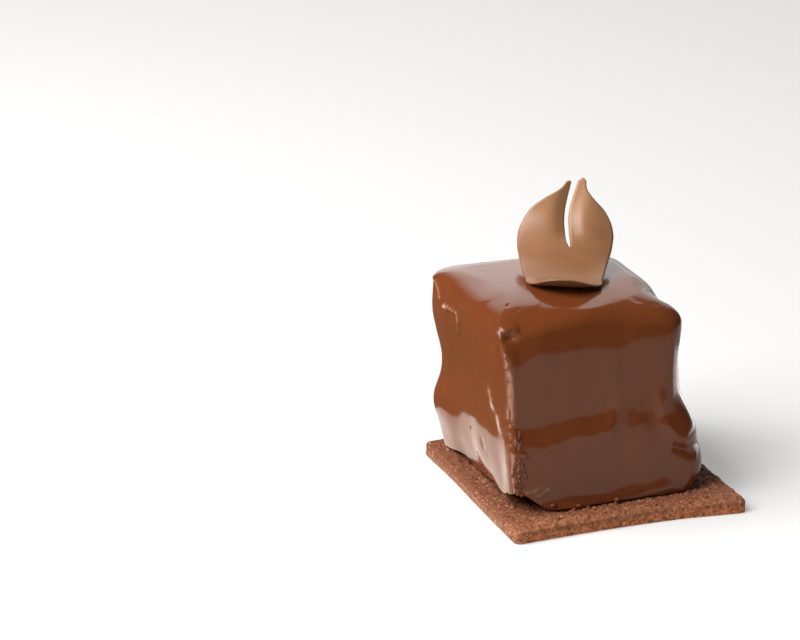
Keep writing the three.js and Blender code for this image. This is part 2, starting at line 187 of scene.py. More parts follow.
def add(material, kind, inputs, **settings):
    """Adds a node with its settings, and fills its inputs with values or with links from other sockets."""
    node = material.node_tree.nodes.new(kind)
    for name, value in settings.items():
        setattr(node, name, value)
    for name, value in inputs.items():
        if isinstance(value, bpy.types.NodeSocket):
            material.node_tree.links.new(value, node.inputs[name])
        else:
            node.inputs[name].default_value = value
    return node


def new_material(name):
    """An empty material with a Principled shader; returns the material, the shader and Object coordinates."""
    material = bpy.data.materials.new(name)
    material.use_nodes = True
    shader = material.node_tree.nodes["Principled BSDF"]
    place = add(material, "ShaderNodeTexCoord", {}).outputs["Object"]
    return material, shader, place


# Cocoa shortbread is dry and matte: flour and cocoa crumb, paler sugar grains that catch the light, and dark
# pits between them. Its faces take copies of the crumb colour in different brightness, painted light and
# shade: the top is darker but for a lighter strip along its front edge, and the sides are lighter than the
# top, the front, right and back ones lighter and more orange still.
shortbread, shader, place = new_material("cocoa_shortbread")
patches = add(shortbread, "ShaderNodeTexNoise", {"Vector": place, "Scale": 1 / (6.0 * MM), "Detail": 3.0})
crumb = add(shortbread, "ShaderNodeTexNoise", {"Vector": place, "Scale": 1 / (0.9 * MM), "Detail": 4.0})
grains = add(shortbread, "ShaderNodeTexVoronoi", {"Vector": place, "Scale": 1 / (1.0 * MM)})
grain_lot = add(shortbread, "ShaderNodeSeparateColor", {"Color": grains.outputs["Color"]})
grain_edge = add(
    shortbread, "ShaderNodeMapRange",
    {"Value": grains.outputs["Distance"], "From Min": 0.40, "From Max": 0.16},
)
grain_picked = add(
    shortbread, "ShaderNodeMapRange",
    {"Value": grain_lot.outputs["Red"], "From Min": 0.45, "From Max": 1.0, "To Max": 0.75},
)
grain_mask = add(
    shortbread, "ShaderNodeMath", {0: grain_edge.outputs["Result"], 1: grain_picked.outputs["Result"]},
    operation="MULTIPLY",
)
# Painted shade and light on the top: a darker copy of the crumb colour for all of it but its front edge, and a
# lighter copy for that edge.
shaded_top_colour = add(
    shortbread, "ShaderNodeMix",
    {"Factor": patches.outputs["Fac"], 6: linear("#6c3c26"), 7: linear("#7d4931")}, data_type="RGBA",
)
lit_top_colour = add(
    shortbread, "ShaderNodeMix",
    {"Factor": patches.outputs["Fac"], 6: linear("#8d5437"), 7: linear("#a26544")}, data_type="RGBA",
)
# Painted light: a lighter, more orange copy of the crumb colour for the front, right and back sides, which the
# key light misses; the left side, which faces it, keeps a darker copy.
painted_light_sides = add(
    shortbread, "ShaderNodeMix",
    {"Factor": patches.outputs["Fac"], 6: linear("#b2663e"), 7: linear("#c5794d")}, data_type="RGBA",
)
left_side = add(
    shortbread, "ShaderNodeMix",
    {"Factor": patches.outputs["Fac"], 6: linear("#8f5c3f"), 7: linear("#9f6f50")}, data_type="RGBA",
)
spot = add(shortbread, "ShaderNodeSeparateXYZ", {"Vector": place})
at_left = add(
    shortbread, "ShaderNodeMapRange",
    {"Value": spot.outputs["X"], "From Min": -29.5 * MM, "From Max": -31.5 * MM},
)
side_light_and_shade = add(
    shortbread, "ShaderNodeMix",
    {"Factor": at_left.outputs["Result"], 6: painted_light_sides.outputs[2], 7: left_side.outputs[2]},
    data_type="RGBA",
)
# Painted shade: the top turns from the lighter copy at its front edge, at y -30 mm, to the darker one from y
# -16 mm back, beside and behind the cake.
at_front = add(
    shortbread, "ShaderNodeMapRange",
    {"Value": spot.outputs["Y"], "From Min": -16 * MM, "From Max": -30 * MM},
)
top_light_and_shade = add(
    shortbread, "ShaderNodeMix",
    {"Factor": at_front.outputs["Result"], 6: shaded_top_colour.outputs[2], 7: lit_top_colour.outputs[2]},
    data_type="RGBA",
)
# Painted light and shade: the sides take their lighter copies and the top its own darker ones, split by
# height.
on_top = add(
    shortbread, "ShaderNodeMapRange",
    {"Value": spot.outputs["Z"], "From Min": 1.7 * MM, "From Max": 2.7 * MM},
)
crumb_light_and_shade = add(
    shortbread, "ShaderNodeMix",
    {"Factor": on_top.outputs["Result"], 6: side_light_and_shade.outputs[2], 7: top_light_and_shade.outputs[2]},
    data_type="RGBA",
)
pitted = add(
    shortbread, "ShaderNodeMapRange",
    {"Value": crumb.outputs["Fac"], "From Min": 0.30, "From Max": 0.60},
)
pitted_colour = add(
    shortbread, "ShaderNodeMix",
    {"Factor": pitted.outputs["Result"], 6: linear("#633923"), 7: crumb_light_and_shade.outputs[2]},
    data_type="RGBA",
)
grained_colour = add(
    shortbread, "ShaderNodeMix",
    {"Factor": grain_mask.outputs["Value"], 6: pitted_colour.outputs[2], 7: linear("#cf9f80")},
    data_type="RGBA",
)
rough_crumb = add(
    shortbread, "ShaderNodeBump",
    {"Height": crumb.outputs["Fac"], "Strength": 0.6, "Distance": 0.35 * MM},
)
for socket, value in {"Roughness": 0.85, "IOR": 1.45, "Specular IOR Level": 0.35}.items():
    shader.inputs[socket].default_value = value
shortbread.node_tree.links.new(grained_colour.outputs[2], shader.inputs["Base Color"])
shortbread.node_tree.links.new(rough_crumb.outputs["Normal"], shader.inputs["Normal"])

# Rings of the biscuit's skin, by how far they lie in from its edge: the underside, the round of the foot, the
# side, the round of the upper edge, a fine margin that shows round the cake, and the middle under the cake.
biscuit_round = np.radians(np.linspace(0, 90, 6))
under = np.array([30.0, 20.0, 8.0, 3.0])
margin_step = 0.4
margin_width = 13.0
side_rings = 4
round_in = 1 - np.sin(biscuit_round)
round_out = 1 - np.cos(biscuit_round)
foot_in = biscuit_foot_round * round_in
foot_out = biscuit_foot_round * round_out
edge_in = biscuit_edge_round * round_in
edge_out = biscuit_edge_round * round_out
top_margin = np.arange(biscuit_edge_round + margin_step, margin_width, margin_step)
top_middle = np.array([15.0, 18.0, 22.0, 26.0, 30.0])
wall_height = np.linspace(biscuit_foot_round, biscuit_thickness - biscuit_edge_round, side_rings + 2)[1:-1]
ring_inset = np.concatenate([under, foot_in, 0 * wall_height, edge_in[::-1], top_margin, top_middle])
flat_top = np.ones(top_margin.size + top_middle.size)
ring_height = np.concatenate([
    0 * under, foot_out, wall_height, biscuit_thickness - edge_out[::-1], biscuit_thickness * flat_top,
])
ring_up = np.concatenate([0 * under, 0 * foot_in, 0 * wall_height, np.sin(biscuit_round), flat_top])
stations = stations_round(biscuit_arc_steps, biscuit_side_steps)
plain = biscuit_surface(ring_inset, ring_height, stations)
baked = baked_relief(plain, np.broadcast_to(ring_up[:, None], plain.shape[:2]))
baked[0] = baked[0].mean(axis=0)
baked[-1] = baked[-1].mean(axis=0)
biscuit = mesh_piece("shortbread_square", baked, ring_faces(ring_inset.size, stations[0].size), shortbread)
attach(biscuit, "root")
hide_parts("biscuit_base")

# Crumbs: bits of the baked shortbread that broke off as the square was cut and handled. They lie loose on its
# top, in the margin round the cake.
crumb_count = 240
crumb_size = (0.22, 0.55)
crumb_lift = np.array([0, 0, 0.1])
crumb_draw = np.random.default_rng(7)


def joined_balls(subdivisions, places, frames, sizes):
    """Joined ellipsoids: the points of a unit ball times each one's three half sizes, along its own three
    axes, round its own place."""
    ball = bmesh.new()
    bmesh.ops.create_icosphere(ball, subdivisions=subdivisions, radius=1.0)
    ball.verts.index_update()
    unit = np.array([vertex.co[:] for vertex in ball.verts])
    corners = np.array([[vertex.index for vertex in face.verts] for face in ball.faces])
    ball.free()
    points = places[:, None, :] + np.einsum("nvk,nkc->nvc", unit[None] * sizes[:, None, :], frames)
    faces = corners[None] + unit.shape[0] * np.arange(places.shape[0])[:, None, None]
    return points.reshape(-1, 3), faces.reshape(-1, 3)


def random_frames(draw, count):
    """Random sets of three axes at right angles."""
    return np.linalg.qr(draw.normal(size=(count, 3, 3)))[0]


margin_first = ring_inset.size - top_middle.size - top_margin.size
crumb_ring = crumb_draw.integers(margin_first + 1, ring_inset.size - top_middle.size, crumb_count)
crumb_station = crumb_draw.integers(0, stations[0].size, crumb_count)
crumb_half = crumb_draw.uniform(*crumb_size, size=(crumb_count, 3))
crumb_place = baked[crumb_ring, crumb_station] + crumb_lift
crumb_points, crumb_faces = joined_balls(1, crumb_place, random_frames(crumb_draw, crumb_count), crumb_half)
crumbs = mesh_piece("shortbread_crumbs", crumb_points, crumb_faces, shortbread)
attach(crumbs, "root")

# Sponge: the baked chocolate cake under the glaze. It shows only in the notch below the glaze's lifted rim,
# dark and torn, so the plain solid is kept.

# Chocolate sponge is dry and matte, with torn pores. Its colour is darkened to near black, painted shade: it
# shows only in the notch below the lifted rim, where it stands in for the shadow there.
painted_shade_sponge, shader, place = new_material("chocolate_sponge")
pores = add(painted_shade_sponge, "ShaderNodeTexVoronoi", {"Vector": place, "Scale": 1 / (1.2 * MM)})
torn = add(painted_shade_sponge, "ShaderNodeTexNoise", {"Vector": place, "Scale": 1 / (2.0 * MM), "Detail": 5.0})
sponge_shade_colour = add(
    painted_shade_sponge, "ShaderNodeMix",
    {"Factor": torn.outputs["Fac"], 6: linear("#120906"), 7: linear("#2a170e")}, data_type="RGBA",
)
porous = add(
    painted_shade_sponge, "ShaderNodeBump",
    {"Height": pores.outputs["Distance"], "Strength": 0.8, "Distance": 0.6 * MM},
)
shader.inputs["Roughness"].default_value = 0.95
shader.inputs["Specular IOR Level"].default_value = 0.1
painted_shade_sponge.node_tree.links.new(sponge_shade_colour.outputs[2], shader.inputs["Base Color"])
painted_shade_sponge.node_tree.links.new(porous.outputs["Normal"], shader.inputs["Normal"])
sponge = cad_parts["sponge_cake"]
sponge.data.materials.clear()
sponge.data.materials.append(painted_shade_sponge)

# Glaze: warm chocolate poured over the cake, which ran down the walls and set. It is a thin glossy skin that
# follows the sponge's bulges, thick and soft along the top edge, ragged at its foot and at the cut corner.
cake_height = 52.4
top_middle_x = -5.8
top_middle_y = 6.6
top_fall = 0.028
top_dome = 0.5
top_dip = 1.5
top_reach = 25.0
glaze_thickness = 1.6
wall_heights = np.array([0.0, 3.0, 11.0, 17.0, 22.0, 27.0, 35.0, 43.0, 49.0])
wall_keys = {
    "left": np.array([29.6, 30.0, 30.5, 30.4, 30.0, 30.1, 31.4, 32.4, 32.5]),
    "right": np.array([24.4, 26.3, 26.8, 25.4, 23.1, 21.2, 20.6, 21.2, 21.6]),
    "front": np.array([21.5, 21.1, 20.5, 20.1, 19.8, 19.5, 19.1, 18.7, 18.4]),
    "back": np.array([31.0, 31.6, 32.0, 32.0, 31.8, 31.4, 31.6, 32.0, 32.0]),
}
corner_radii = np.array([2.4, 6.0, 6.0, 4.5])
corner_top_radii = np.array([9.0, 8.0, 8.0, 6.0])

# The top edge bends over as a quarter ellipse: how far it reaches in and how far it drops, at each corner and
# halfway along the wall that follows it.
edge_reach = {"corner": np.array([11.0, 8.0, 7.0, 7.0]), "wall": np.array([3.4, 7.0, 6.0, 10.0])}
edge_drop = {"corner": np.array([5.2, 4.8, 4.5, 3.2]), "wall": np.array([3.2, 5.0, 3.8, 4.5])}

# The front wall stands out below a ledge that wanders across it: the ledge's height above the table and half
# its depth, from left to right. The wall also leans back above a second line.
ledge_step = 1.6
ledge_x = np.array([-30, -25, -20, -15.5, -11, -6, -1, 1.6, 4, 8, 12, 16, 22.0])
ledge_height = np.array([26, 25.6, 25.4, 25.2, 26.6, 26.9, 26.9, 26.6, 26.3, 26.6, 25.2, 24.5, 24])
ledge_depth = np.array([4.0, 2.4, 2.3, 2.4, 2.5, 2.3, 3.0, 7.5, 5.4, 5.2, 6.6, 8.0, 8.0])
ledge_wander = 0.8
ledge_wander_size = 3.4
lean_slope = 0.24
lean_softness = 0.8
lean_x = np.array([-28, -22, -15, -7, -1, 3, 7, 11, 15.0])
lean_height = np.array([44.6, 47.4, 47.6, 48.1, 47.8, 47.9, 49.2, 49.8, 50])

# Swells and dents of the glazed surface: middle, reach along each axis, height along the normal.
cake_swells = np.array([
    [-31, 28, 18, 7, 9, 6, 1.7],
    [-30, -16, 12, 5, 10, 8, -1.0],
    [-29, 2, 3, 7, 18, 10, -2.6],
    [-13, -23, 3.0, 9, 4, 2.4, 1.1],
    [-31, 22, 44, 5, 9, 6, 0.7],
    [20, -4, 53, 5, 6, 5, -1.7],
    [18, -15, 55, 6, 6, 3, 0.2],
    [24, -18, 23, 5, 6, 4, 0.4],
    [24, -20, 16, 6, 5, 2.2, -0.7],
    [4, -22.5, 4.5, 5, 3, 2.6, 0.5],
    [13, -22.5, 5.5, 4, 3, 2.4, 0.45],
    [13.6, -19.5, 28, 2.0, 3, 4.5, 0.65],
    [-24.8, -5.9, 55.5, 0.32, 0.32, 2, -0.42],
    [-23.3, -9.0, 55.2, 0.35, 0.35, 2, -0.3],
])

# Draws of the glazed surface to the right: middle, reach along each axis, distance.
cake_draws = np.array([[-32, -19, 45, 9, 9, 13, 2.3]])

# Lifts of the glaze's lower rim off the biscuit: middle in plan, reach and height.
rim_clearance = 0.4
rim_lifts = np.array([
    [-27, -21.8, 5, 5.6],
    [-28, -9, 9, 2.5],
    [-29, 15, 8, 2.0],
])


def through_keys(at, positions, values):
    """Smooth curve through the keys: cubic pieces whose slope at each key is its central difference."""
    slopes = np.gradient(values, positions)
    i = np.clip(np.searchsorted(positions, at) - 1, 0, positions.size - 2)
    span = positions[i + 1] - positions[i]
    t = np.clip((at - positions[i]) / span, 0, 1)
    rest = 1 - t
    ends = values[i] * rest**2 * (1 + 2 * t) + values[i + 1] * t**2 * (3 - 2 * t)
    return ends + span * t * rest * (slopes[i] * rest - slopes[i + 1] * t)


def swell_at(points, swells):
    """Sum of rounded bumps, each its height times a bell of the distance from its middle over its reach."""
    total = np.zeros(points.shape[:-1])
    for swell in swells:
        total += swell[6] * np.exp(-(((points - swell[:3]) / swell[3:6]) ** 2).sum(axis=-1))
    return total


def top_edge(stations, size):
    """Reach or drop of the top edge at each station, passing smoothly from corner to mid wall to corner."""
    corner, degrees, along = stations
    following = (corner + 1) % 4
    to_middle = 1 - np.abs(2 * along - 1)
    blend = to_middle**2 * (3 - 2 * to_middle)
    ends = size["corner"][corner] + along * (size["corner"][following] - size["corner"][corner])
    return ends + blend * (size["wall"][corner] - ends)


def front_shape(x, z):
    """How far the front wall stands out: a step below the ledge, which fades as a tanh of the height over the
    ledge's half depth, less a lean that sets in softly above its own line."""
    wander = ledge_wander * lumps(np.stack([x, 0 * x, 0 * x], axis=-1), ledge_wander_size, 10)
    middle = through_keys(x, ledge_x, ledge_height) + wander
    half = through_keys(x, ledge_x, ledge_depth)
    step = ledge_step / 2 * (1 + np.tanh((middle - z) / half))
    over = (z - through_keys(x, lean_x, lean_height)) / lean_softness
    return step - lean_slope * lean_softness * np.logaddexp(0, over)


def top_fall_at(x, y):
    """Height of the top over its middle: it falls to the right, and as the square of the distance from the
    middle, more towards the front."""
    forward = np.maximum(top_middle_y - y, 0)
    dome = top_dome * ((x - top_middle_x) ** 2 + (y - top_middle_y) ** 2) + top_dip * forward**2
    return -top_fall * (x - top_middle_x) - dome / top_reach**2


def cake_surface(stations, level, depth, foot):
    """The glazed surface and its outward direction on a grid of levels by stations. Level 0 to 1 climbs the
    wall from its foot, 1 to 2 is a quarter ellipse over the top edge, and 2 to 3 crosses the top to its
    middle. Depth is how far below the outer surface the points lie."""
    corner, degrees, along = stations
    reach = top_edge(stations, edge_reach)
    drop = top_edge(stations, edge_drop)
    climb = np.clip(level, 0, 1)[:, None]
    tilt = np.clip(level - 1, 0, 1)[:, None] * (np.pi / 2)
    inward = np.clip(level - 2, 0, 1)[:, None]
    height = foot + (cake_height - drop - foot) * climb
    bent = 1 - np.cos(tilt)
    inset = depth * np.cos(tilt) + reach * bent
    walls = {name: through_keys(height, wall_heights, keys) - inset for name, keys in wall_keys.items()}

    def radius_at(number):
        return (corner_radii[number] - depth) * (1 - bent) + corner_top_radii[number] * bent

    x, y = outline(stations, walls, radius_at)
    front = np.maximum(-np.sin(np.radians(degrees)), 0)
    raised = height + (drop - depth) * np.sin(tilt)
    y = y - front * front_shape(x, biscuit_thickness + raised)
    x = x + inward * (top_middle_x - x)
    y = y + inward * (top_middle_y - y)
    fall = top_fall_at(x, y)
    points = np.stack([x, y, biscuit_thickness + raised + fall * climb], axis=-1)
    turn = np.radians(degrees) + 0 * tilt
    sideways = np.cos(tilt)
    outward = np.stack(
        [np.cos(turn) * sideways, np.sin(turn) * sideways, np.sin(tilt) + 0 * turn], axis=-1,
    )
    draw = swell_at(points, cake_draws)
    points = points + outward * swell_at(points, cake_swells)[..., None]
    points[..., 0] += draw
    return points, outward


def rim_height(stations):
    """Height of the glaze's lower rim above the biscuit: a small clearance plus the rounded lifts."""
    foot_walls = {name: np.array(keys[0]) for name, keys in wall_keys.items()}
    foot_walls["front"] = foot_walls["front"] + ledge_step
    x, y = outline(stations, foot_walls, lambda number: corner_radii[number])
    height = np.full(x.shape, rim_clearance)
    for lift_x, lift_y, reach, lift in rim_lifts:
        height += lift * np.exp(-((x - lift_x) ** 2 + (y - lift_y) ** 2) / reach**2)
    return height


# Marks on the set glaze: height along the normal, width, how far fine lumps break it into beads, and a line.
# On the left wall the line is given by y and z: the hanging fold below the back shoulder, the crease and
# bulge of the front shoulder, two drips, a smudge and a pit. On the front wall it is given by x and z: the
# pinch and its lip at the front left corner, the slit, the bead along the edge, a curl and scratches by the
# foot, a crease below the right shoulder, and a ridge and a groove by the ledge's right end.
hang_path = [(27.1, 53.4), (24.2, 52.4), (22.5, 51.0), (21.1, 49.5), (16.6, 48.7)]
drip_path = [(16.6, 48.7), (13.5, 48.9), (10.0, 49.0), (9.0, 47.4), (9.4, 44.1)]
left_marks = [
    (0.8, 0.8, 0.1, hang_path),
    (0.9, 0.85, 0.4, drip_path),
    (-0.35, 1.4, 0.0, [(-1.4, 54.0), (-5.4, 53.2), (-8.7, 52.2), (-10.6, 50.1), (-10.9, 47.2)]),
    (0.25, 2.0, 0.0, [(-13.1, 52.0), (-13.8, 47.0), (-14.1, 41.7)]),
    (0.35, 1.6, 0.0, [(-8.3, 33.2), (-9.7, 30.9)]),
    (0.25, 1.4, 0.0, [(-13.5, 27.5), (-14.4, 25.7)]),
    (-0.3, 0.9, 0.2, [(-2.2, 17.4), (-2.8, 15.8)]),
    (-0.22, 0.45, 0.0, [(5.7, 18.1), (5.7, 17.8)]),
]
edge_path = [
    (-29.8, 49.2), (-29.7, 45.3), (-29.4, 39.9), (-29.5, 34.4), (-29.5, 31.0), (-29.3, 27.8), (-29.4, 24.1),
    (-29.0, 20.4), (-29.0, 16.2), (-29.3, 13.2),
]
upper_scratch = [(-25.4, 9.7), (-23.2, 9.9), (-21.0, 10.7)]
lower_scratch = [(-22.2, 8.4), (-20.6, 9.0), (-19.2, 10.0)]
front_marks = [
    (-1.2, 1.2, 0.1, [(-29.2, 50.5), (-27.8, 50.6)]),
    (0.7, 0.8, 0.2, [(-28.9, 52.1), (-27.7, 52.3), (-26.2, 52.4)]),
    (-1.0, 0.4, 0.0, [(-29.3, 31.7), (-29.4, 28.8)]),
    (0.4, 0.6, 0.6, edge_path),
    (0.6, 0.6, 0.5, [(-26.7, 20.7), (-25.7, 19.5), (-25.8, 17.5), (-26.6, 16.0)]),
    (0.15, 0.5, 0.4, upper_scratch),
    (0.15, 0.5, 0.4, lower_scratch),
    (-0.3, 0.5, 0.2, [(9.0, 54.6), (13.5, 53.6), (17.5, 52.4)]),
    (0.8, 2.0, 0.0, [(14.8, 22.6), (17.2, 19.6), (19.0, 18.0)]),
    (-0.6, 1.0, 0.0, [(17.0, 16.4), (19.6, 15.0), (22.0, 13.4)]),
]
bead_size = 1.0

# Slow relief of the walls: the wall, height, size of the lumps along each axis, and seed.
wall_lumps = [
    ("all", 0.22, (13.0, 13.0, 13.0), 11),
    ("all", 0.10, (6.0, 6.0, 6.0), 12),
    ("left", 0.20, (9.0, 7.0, 16.0), 13),
    ("front", 0.05, (3.0, 9.0, 14.0), 14),
    ("front", 0.03, (2.4, 2.4, 2.4), 15),
]

# The skin tore beside the lower front left edge: height and size of its rags, width of the torn strip, the
# heights where it starts and is torn in full, and how far it lies to the right of the edge.
rag_height = 0.30
rag_size = 1.7
torn_width = 1.4
torn_heights = (32.0, 24.0)
torn_path = np.array(edge_path) + np.array([1.3, 0.0])


def line_bell(points, path, width):
    """Bell of the distance from a broken line over the width, for points of the same two coordinates."""
    nearest = np.full(points.shape[:-1], np.inf)
    path = np.array(path)
    for start, end in zip(path[:-1], path[1:]):
        step = end - start
        share = np.clip(((points - start) @ step) / (step @ step), 0, 1)
        nearest = np.minimum(nearest, ((points - start - share[..., None] * step) ** 2).sum(axis=-1))
    return np.exp(-nearest / width**2)


def smooth(at, start, end):
    """Smoothstep from 0 at the start to 1 at the end."""
    share = np.clip((at - start) / (end - start), 0, 1)
    return share**2 * (3 - 2 * share)


def poured_relief(points, outward):
    """Relief of the set glaze along its normal: the walls' slow lumps, the marks, beaded by fine lumps, and
    ragged lumps over the torn strip. Each wall's share is its part of the outward direction."""
    wall = 1 - outward[..., 2]
    level = np.maximum(np.hypot(outward[..., 0], outward[..., 1]), 0.1)
    left = np.clip(-outward[..., 0] / level, 0, 1)
    front = np.clip(-outward[..., 1] / level, 0, 1)
    on_left = points[..., 1:]
    on_front = points[..., ::2]
    shares = {"all": wall, "left": wall * left, "front": wall * front}
    relief = np.zeros(wall.shape)
    for side, height, size, seed in wall_lumps:
        relief += shares[side] * height * lumps(points, np.array(size), seed)
    fine = lumps(points, bead_size, 16)
    for height, width, beading, path in left_marks:
        relief += left * (1 + beading * (fine - 1)) * height * line_bell(on_left, path, width)
    for height, width, beading, path in front_marks:
        relief += front * (1 + beading * (fine - 1)) * height * line_bell(on_front, path, width)
    torn_skin = front * smooth(points[..., 2], *torn_heights) * line_bell(on_front, torn_path, torn_width)
    return relief + torn_skin * rag_height * lumps(points, rag_size, 17)


# Pale marks painted into the glaze's colour: strength, width and line, by y and z on the left wall and by x
# and z on the front one. Fine lumps break the pale places up. On the left wall they are painted highlights
# along the hanging fold and the drips, and painted reflections on two bulges; on the front they are the
# scratches by the foot and a short mark beside them, rubbed wear that is partly painted highlight.
left_painted_sheen = [
    (0.55, 0.4, [(25.2, 52.8), (24.2, 52.4), (22.5, 51.0), (21.1, 49.5)]),
    (0.55, 0.5, [(17.2, 48.8), (16.2, 48.5)]),
    (0.45, 0.5, drip_path),
    (0.45, 1.2, [(-7.6, 33.2), (-8.6, 31.2)]),
    (0.2, 1.0, [(-13.5, 27.5), (-14.4, 25.7)]),
]
front_wear_and_sheen = [
    (0.2, 0.35, upper_scratch),
    (0.2, 0.35, lower_scratch),
    (0.2, 0.35, [(-23.4, 9.8), (-22.4, 8.6)]),
]
left_wall_x = -24.0
front_wall_y = -17.0
pale_mark_share = 0.6
pale_lump_share = 0.9
pale_lump_size = 0.9


def pale_sheen_and_wear(points):
    """How pale the glaze is painted, from 0 to 1, for painted highlights, painted reflections and rubbed wear:
    the sum of each line's strength times a bell of the distance from it, on that line's wall, times a share
    that fine lumps raise and lower."""
    broken = np.clip(pale_mark_share + pale_lump_share * lumps(points, pale_lump_size, 18), 0, 1)
    total = np.zeros(points.shape[0])
    for strength, width, path in left_painted_sheen:
        total += strength * (points[:, 0] < left_wall_x) * line_bell(points[:, 1:], path, width)
    for strength, width, path in front_wear_and_sheen:
        total += strength * (points[:, 1] < front_wall_y) * line_bell(points[:, ::2], path, width)
    return np.clip(total * broken, 0, 1)


glaze_arc_steps = (20, 10, 10, 10)
glaze_side_steps = (130, 60, 60, 130)
wall_rows = 126
edge_rows = 36
top_rows = 30
inner_top_rows = 4
inner_edge_rows = 3
inner_wall_rows = 10
glaze_stations = stations_round(glaze_arc_steps, glaze_side_steps)
rim = rim_height(glaze_stations)
outer_level = np.concatenate([
    np.linspace(0, 1, wall_rows), np.linspace(1, 2, edge_rows + 1)[1:], np.linspace(2, 3, top_rows + 1)[1:],
])
inner_level = np.concatenate([
    np.linspace(3, 2, inner_top_rows), np.linspace(2, 1, inner_edge_rows + 1)[1:],
    np.linspace(1, 0, inner_wall_rows + 1)[1:],
])
inner = cake_surface(glaze_stations, inner_level, glaze_thickness, rim)[0]
outer, outer_out = cake_surface(glaze_stations, outer_level, 0.0, rim)
outer = outer + outer_out * poured_relief(outer, outer_out)[..., None]
glaze_points = np.concatenate([inner, outer])

# Set chocolate glaze is dark, smooth and glossy, so most of what it shows is what it mirrors.
set_glaze, shader, place = new_material("poured_chocolate_glaze")
cocoa = add(set_glaze, "ShaderNodeTexNoise", {"Vector": place, "Scale": 1 / (14.0 * MM), "Detail": 3.0})
glaze_colour = add(
    set_glaze, "ShaderNodeMix",
    {"Factor": cocoa.outputs["Fac"], 6: linear("#643218"), 7: linear("#6b371a")}, data_type="RGBA",
)
# The 'thin' attribute carries the pale marks mixed towards a pale colour: painted highlights and painted
# reflections on the left wall, rubbed wear with painted highlight on the front.
thin = add(set_glaze, "ShaderNodeAttribute", {}, attribute_name="thin")
wear_and_sheen_colour = add(
    set_glaze, "ShaderNodeMix",
    {"Factor": thin.outputs["Fac"], 6: glaze_colour.outputs[2], 7: linear("#d6a888")}, data_type="RGBA",
)
ripple = add(set_glaze, "ShaderNodeTexNoise", {"Vector": place, "Scale": 1 / (3.0 * MM), "Detail": 2.0})
skin = add(
    set_glaze, "ShaderNodeBump",
    {"Height": ripple.outputs["Fac"], "Strength": 0.12, "Distance": 0.2 * MM},
)
for socket, value in {"Roughness": 0.14, "IOR": 1.37}.items():
    shader.inputs[socket].default_value = value
set_glaze.node_tree.links.new(wear_and_sheen_colour.outputs[2], shader.inputs["Base Color"])
set_glaze.node_tree.links.new(skin.outputs["Normal"], shader.inputs["Normal"])

glaze = mesh_piece(
    "glaze_coat", glaze_points, ring_faces(glaze_points.shape[0], glaze_stations[0].size), set_glaze,
)
corners = np.empty(3 * len(glaze.data.vertices))
glaze.data.vertices.foreach_get("co", corners)
corners = corners.reshape(-1, 3) / MM
# The attribute stores the painted highlights, painted reflections and rubbed wear worked out above.
sheen_and_wear_values = glaze.data.attributes.new("thin", "FLOAT", "POINT")
sheen_and_wear_values.data.foreach_set("value", pale_sheen_and_wear(corners))
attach(glaze, "root")
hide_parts("chocolate_glaze")

# Drops and flakes: beads of glaze that ran together at the foot, and curled flakes where the skin tore along
# the front left edge when the cake was cut and lifted.
front_drops = np.array([[-17.9, 5.3], [-11.0, 4.6], [0.0, 4.6]])
drop_half = np.array([0.9, 0.7, 0.55])
flake_count = 34
flake_half = np.array([[0.50, 0.18, 0.12], [1.50, 0.50, 0.26]])
flake_spread = 1.3
flake_heights = (8.0, 26.0)
flake_lift = 0.1
flake_turn = 0.7
front_way = np.array([0, -1.0, 0])
torn_way = np.array([-0.4, -0.9, 0])
faces_share = 0.5
flake_draw = np.random.default_rng(11)


def on_wall(spots, axis, toward):
    """Points of the glaze grid that face a way, nearest to spots given by two coordinates, and their outward
    directions."""
    shown = outward_flat @ toward > faces_share
    wall_points = points_flat[shown]
    gap = ((wall_points[None][..., axis] - spots[:, None, :]) ** 2).sum(axis=-1)
    nearest = gap.argmin(axis=1)
    return wall_points[nearest], outward_flat[shown][nearest]


def wall_frames(normals, angles):
    """Three axes for each normal: two along the wall, turned by an angle from upright, and the normal."""
    level = np.cross(np.array([0.0, 0, 1]), normals)
    level /= np.linalg.norm(level, axis=-1, keepdims=True)
    upright = np.cross(normals, level)
    turn_sin = np.sin(angles)[:, None]
    turn_cos = np.cos(angles)[:, None]
    long = upright * turn_cos + level * turn_sin
    return np.stack([long, np.cross(normals, long), normals], axis=1)


points_flat = outer[:wall_rows + edge_rows].reshape(-1, 3)
outward_flat = outer_out[:wall_rows + edge_rows].reshape(-1, 3)
flake_z = flake_draw.uniform(*flake_heights, flake_count)
torn_line = torn_path[::-1]
flake_x = np.interp(flake_z, torn_line[:, 1], torn_line[:, 0])
flake_x += flake_spread * np.abs(flake_draw.normal(size=flake_count))
places_flake, normals_flake = on_wall(np.stack([flake_x, flake_z], axis=1), [0, 2], torn_way)
places_drop, normals_drop = on_wall(front_drops, [0, 2], front_way)
drop_count = front_drops.shape[0]
bit_places = np.concatenate([places_flake + flake_lift * normals_flake, places_drop])
bit_normals = np.concatenate([normals_flake, normals_drop])
bit_angles = np.concatenate([flake_draw.normal(0, flake_turn, flake_count), np.full(drop_count, np.pi / 2)])
bit_half = np.concatenate([
    flake_draw.uniform(*flake_half, size=(flake_count, 3)), np.tile(drop_half, (drop_count, 1)),
])
bit_points, bit_faces = joined_balls(2, bit_places, wall_frames(bit_normals, bit_angles), bit_half)
glaze_bits = mesh_piece("glaze_drops", bit_points, bit_faces, set_glaze)
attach(glaze_bits, "root")

